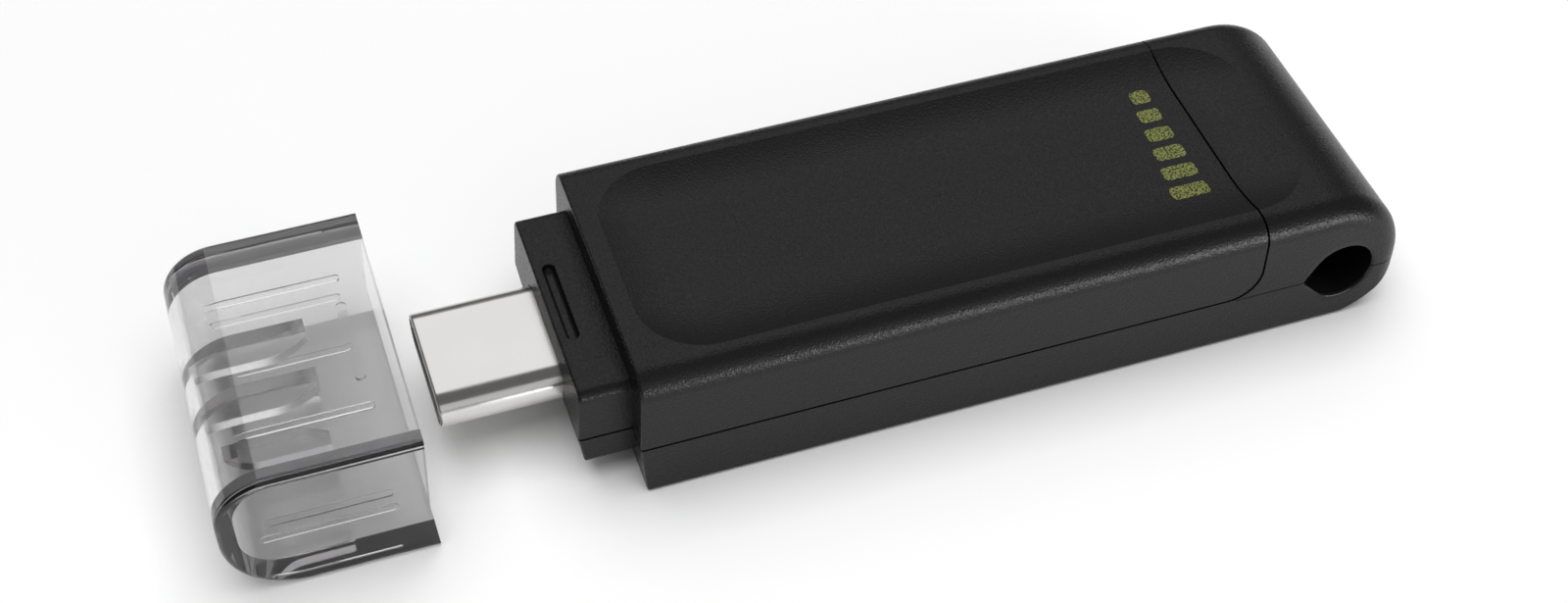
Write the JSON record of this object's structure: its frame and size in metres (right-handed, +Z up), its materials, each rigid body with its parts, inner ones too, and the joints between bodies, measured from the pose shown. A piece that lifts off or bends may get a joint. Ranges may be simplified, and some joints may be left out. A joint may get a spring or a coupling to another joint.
{
  "type": "usb flash drive",
  "caption": "Slim flash drive: two-part dark case with a dished top and a lanyard hole, a USB Type-C plug on a stepped collar, and a clear smoky pull-off cap.",
  "frame": {"origin": "middle of the underside of the whole object at rest, cap pulled off in line with the plug", "axes": "+X from the cap past the plug to the lanyard end, +Z up out of the dished face, +Y across"},
  "size_m": [0.071, 0.0186, 0.009],
  "materials": {
    "case_plastic": "fine moulded texture, dark grey-black",
    "cap_plastic": "clear smoky grey, polished",
    "plug_metal": "satin nickel plate",
    "insulator": "moulded black",
    "contacts": "gold plate",
    "spring_steel": "stamped, bright",
    "board": "green solder mask",
    "chip": "moulded epoxy",
    "crystal_can": "plated lid",
    "ferrite": "sintered ferrite",
    "ceramic": "fired ceramic",
    "resistor": "glazed film"
  },
  "bodies": {
    "drive": {"top_cover": "case_plastic", "bottom_cover": "case_plastic", "plug_shell": "plug_metal", "circuit_board": "board", "flash_memory": "chip", "controller_chip": "chip", "crystal": "crystal_can", "voltage_regulator": "chip", "power_inductor": "ferrite", "esd_arrays": "chip", "coupling_capacitors": "ceramic", "bulk_capacitors": "ceramic", "bypass_capacitors": "ceramic", "resistors": "resistor", "plug_contacts_upper": "contacts", "plug_contacts_lower": "contacts", "plug_latch": "spring_steel", "plug_ground_spring_upper": "spring_steel", "plug_ground_spring_lower": "spring_steel", "plug_shield": "spring_steel", "plug_insulator": "insulator"},
    "cap": {"cap": "cap_plastic"}
  },
  "joints": [
    {"name": "cap_slide", "type": "slide", "parent": "drive", "child": "cap", "axis": [1, 0, 0], "range_m": [0, 0.01194]}
  ]
}
